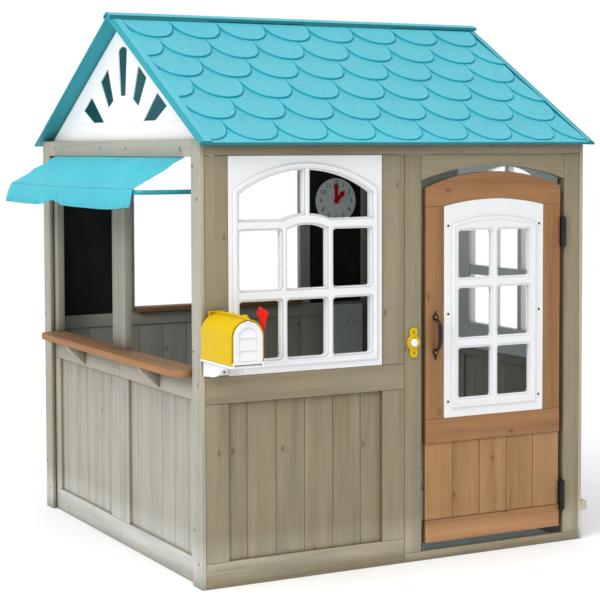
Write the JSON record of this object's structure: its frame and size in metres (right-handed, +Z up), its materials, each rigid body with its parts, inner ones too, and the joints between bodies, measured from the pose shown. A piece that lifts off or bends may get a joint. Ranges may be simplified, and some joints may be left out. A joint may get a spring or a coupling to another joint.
{
  "type": "playhouse",
  "caption": "Wooden playhouse with a shingled teal plastic roof, white sunburst gable, arched window, brown hinged door, serving counter under a fabric awning, mailbox and doorbell.",
  "frame": {"origin": "Centre of the bounding box in plan, on the ground.", "axes": "X along the front wall, from the serving counter towards the door hinges; Y from the front wall to the back wall; Z up."},
  "size_m": [1.253, 1.273, 1.3651],
  "materials": {
    "pale_wood": "pale silvery stain, open grain, satin",
    "front_wood": "grey-brown stain, open grain, satin",
    "brown_wood": "warm brown stain, open grain, satin",
    "teal_plastic": "fine moulded stipple",
    "white_plastic": "smooth moulded, semi-matt",
    "grey_plastic": "smooth moulded, semi-matt",
    "yellow_plastic": "smooth moulded, light gloss",
    "red_plastic": "smooth moulded, light gloss",
    "awning_cloth": "thin woven polyester",
    "teal_paint": "powder coat",
    "black_metal": "satin black powder coat",
    "zinc_screw": "yellow zinc plate",
    "chalkboard": "matt chalkboard paint"
  },
  "bodies": {
    "house": {"corner_boards": "pale_wood", "front_rails": "front_wood", "front_stiles": "front_wood", "front_planks": "front_wood", "front_header": "front_wood", "front_window": "white_plastic", "door_jambs": "front_wood", "door_arch": "front_wood", "door_sill": "front_wood", "left_rails": "pale_wood", "left_stiles": "pale_wood", "left_planks": "pale_wood", "left_posts": "pale_wood", "side_headers": "pale_wood", "side_beams": "pale_wood", "counter_shelf": "brown_wood", "counter_brackets": "pale_wood", "right_rails": "pale_wood", "right_stiles": "pale_wood", "right_planks": "pale_wood", "right_window": "white_plastic", "back_rails": "pale_wood", "back_stiles": "pale_wood", "back_planks": "pale_wood", "back_header": "pale_wood", "back_sill": "brown_wood", "chalkboards": "chalkboard", "clock_face": "grey_plastic", "clock_spindle": "red_plastic", "kitchen_panel": "grey_plastic", "gable_left": "white_plastic", "gable_right": "white_plastic", "roof_front": "teal_plastic", "roof_back": "teal_plastic", "awning_frame": "teal_paint", "awning_fabric": "awning_cloth", "awning_bolts": "zinc_screw", "hinge_frame_leaves": "black_metal", "hinge_pins": "black_metal", "doorbell_plate": "yellow_plastic", "mailbox_body": "yellow_plastic", "mailbox_base": "white_plastic", "mailbox_bracket": "white_plastic", "flag_pivot": "yellow_plastic", "wall_screws": "zinc_screw", "mailbox_screws": "zinc_screw", "anchor_block": "pale_wood"},
    "door": {"door_stiles": "brown_wood", "door_rails": "brown_wood", "door_planks": "brown_wood", "door_window": "white_plastic", "door_handle": "black_metal", "hinge_door_leaves": "black_metal", "door_screws": "zinc_screw"},
    "doorbell_button": {"doorbell_button": "white_plastic"},
    "mailbox_door": {"mailbox_door": "white_plastic"},
    "mailbox_flag": {"mailbox_flag": "red_plastic"},
    "minute_hand": {"minute_hand": "red_plastic"},
    "hour_hand": {"hour_hand": "red_plastic"}
  },
  "joints": [
    {"name": "door_hinge", "type": "hinge", "parent": "house", "child": "door", "pos_m": [0.5421, -0.4635, 0.48], "axis": [0, 0, 1], "range_deg": [0, 110]},
    {"name": "mailbox_door_hinge", "type": "hinge", "parent": "house", "child": "mailbox_door", "pos_m": [-0.438, -0.623, 0.542], "axis": [1, 0, 0], "range_deg": [0, 95]},
    {"name": "mailbox_flag_hinge", "type": "hinge", "parent": "house", "child": "mailbox_flag", "pos_m": [-0.3945, -0.594, 0.582], "axis": [1, 0, 0], "range_deg": [-119, 0]},
    {"name": "doorbell_press", "type": "slide", "parent": "house", "child": "doorbell_button", "axis": [0, 1, 0], "range_m": [0, 0.003], "stiffness_N_per_m": 150},
    {"name": "minute_hand_turn", "type": "hinge", "parent": "house", "child": "minute_hand", "pos_m": [0.4635, 0.585, 0.856], "axis": [0, -1, 0], "continuous": true},
    {"name": "hour_hand_turn", "type": "hinge", "parent": "house", "child": "hour_hand", "pos_m": [0.4635, 0.583, 0.856], "axis": [0, -1, 0], "continuous": true}
  ]
}
